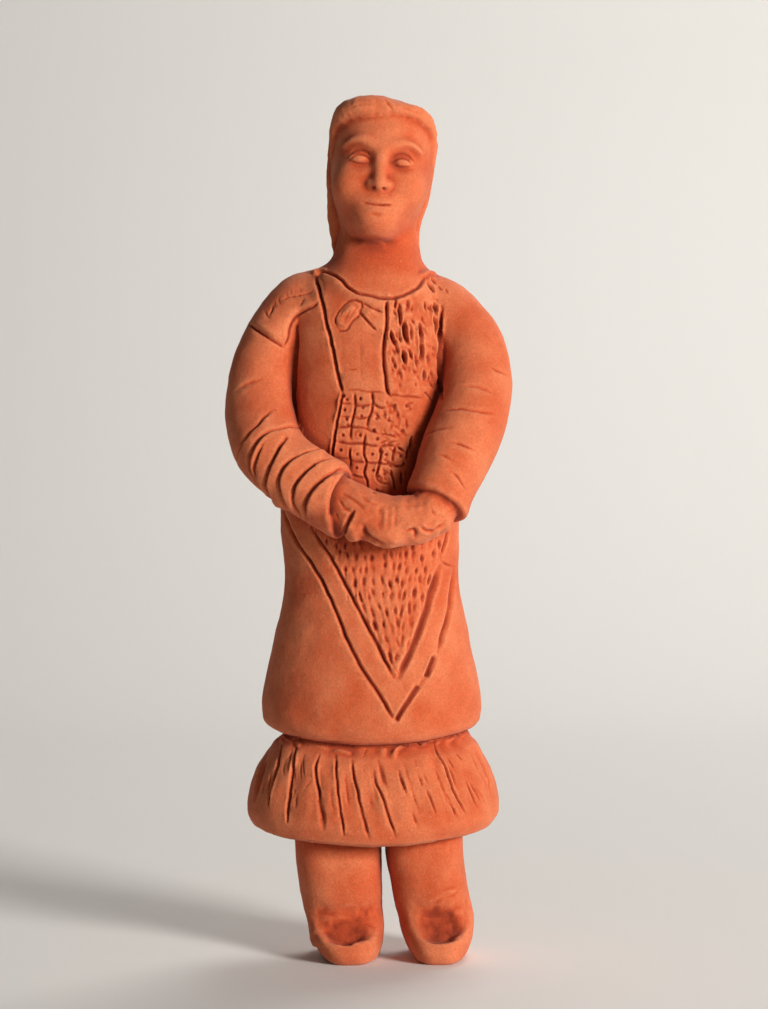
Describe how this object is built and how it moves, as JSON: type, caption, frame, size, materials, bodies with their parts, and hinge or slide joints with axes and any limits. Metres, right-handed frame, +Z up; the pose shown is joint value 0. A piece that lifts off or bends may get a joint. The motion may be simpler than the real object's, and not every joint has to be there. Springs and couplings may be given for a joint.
{
  "type": "terracotta warrior figurine",
  "caption": "Small hand-modelled clay warrior in a long belted robe with a pleated hem, hands joined in front, standing on its own feet.",
  "frame": {"origin": "middle of the bounding box at the level of the soles", "axes": "+Z up from the soles to the crown, -Y the way the figure faces, +X towards its own left hand"},
  "size_m": [0.0588, 0.0406, 0.1795],
  "materials": {
    "terracotta": "unglazed fired clay, matt, with darker red in the cut lines and pale dust on the skirt"
  },
  "bodies": {
    "root": {"warrior_figure": "terracotta"}
  },
  "joints": []
}
